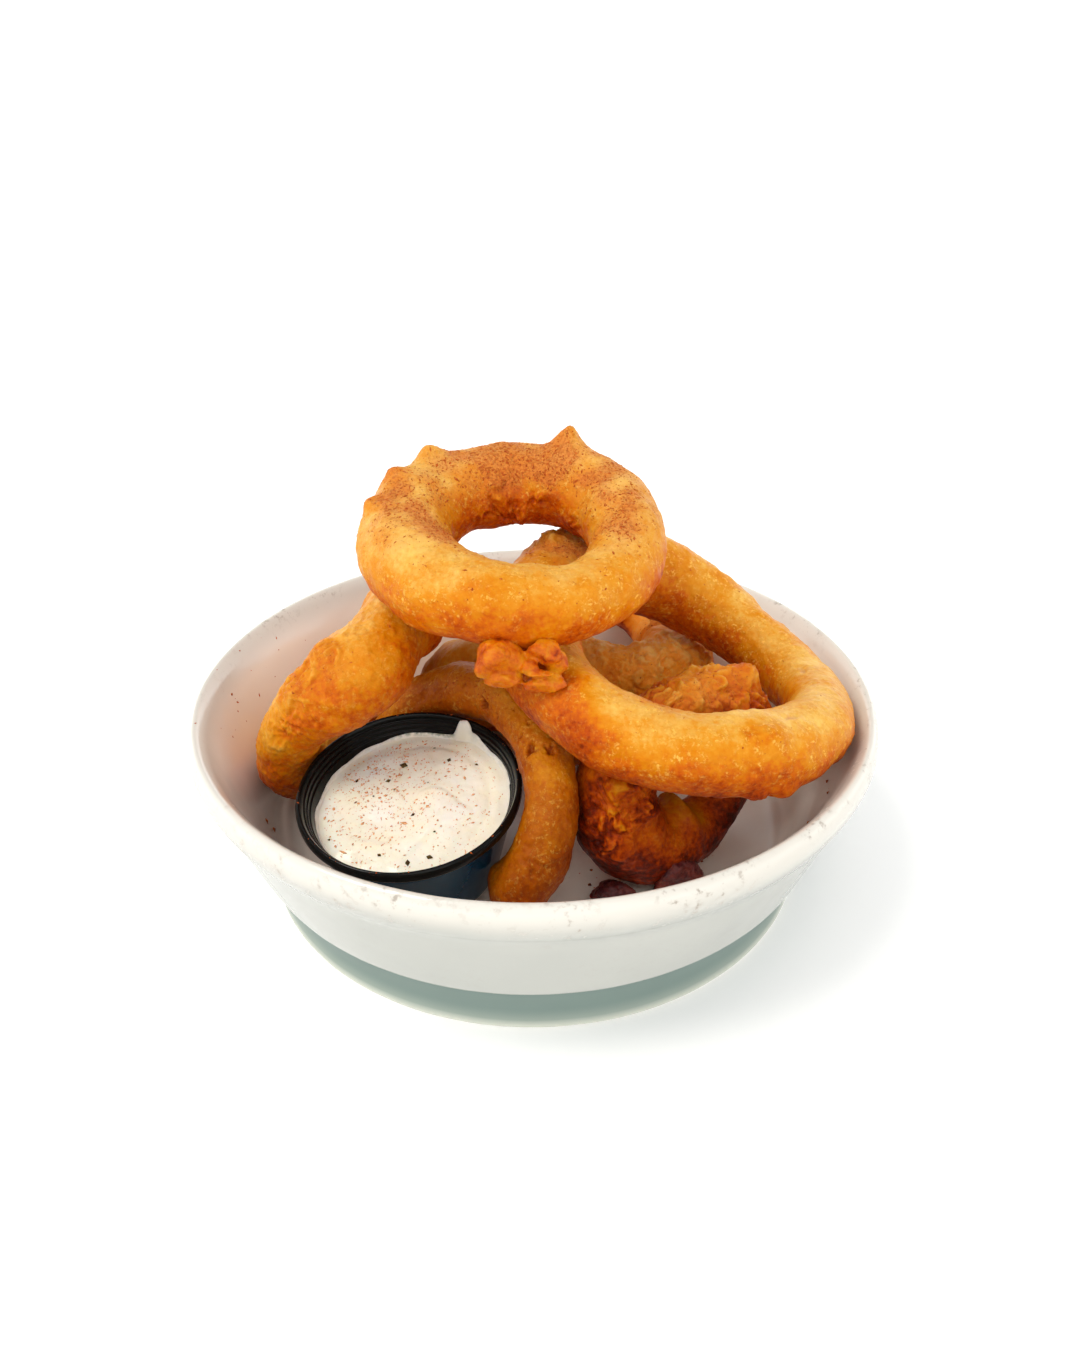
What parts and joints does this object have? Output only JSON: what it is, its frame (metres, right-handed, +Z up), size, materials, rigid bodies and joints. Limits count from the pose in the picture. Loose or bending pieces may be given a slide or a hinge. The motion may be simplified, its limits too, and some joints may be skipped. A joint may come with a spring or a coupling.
{
  "type": "onion rings side in a bowl",
  "caption": "Golden battered onion rings piled in a thick white bowl, with a small black cup of speckled cream dip.",
  "frame": {"origin": "middle of the bowl's foot, on the table", "axes": "+Z up out of the bowl, -Y toward the sauce cup's side, +X to the right of it"},
  "size_m": [0.2004, 0.2004, 0.1239],
  "materials": {
    "white_glaze": "glossy off-white glaze, worn along the rim",
    "black_plastic": "glossy black",
    "cream_dip": "soft wet sheen, speckled with paprika and pepper",
    "fried_batter": "crisp golden batter with a thin film of oil",
    "dark_batter": "dark, crisp fried scraps"
  },
  "bodies": {
    "root": {"bowl": "white_glaze", "sauce_cup": "black_plastic", "dip": "cream_dip", "ring_top": "fried_batter", "ring_left": "fried_batter", "ring_front": "fried_batter", "ring_by_cup": "fried_batter", "ring_low": "fried_batter", "ring_middle": "fried_batter", "ring_back": "fried_batter", "batter_scrap": "dark_batter", "onion_bit_right": "dark_batter", "onion_bit_front": "dark_batter"}
  },
  "joints": []
}
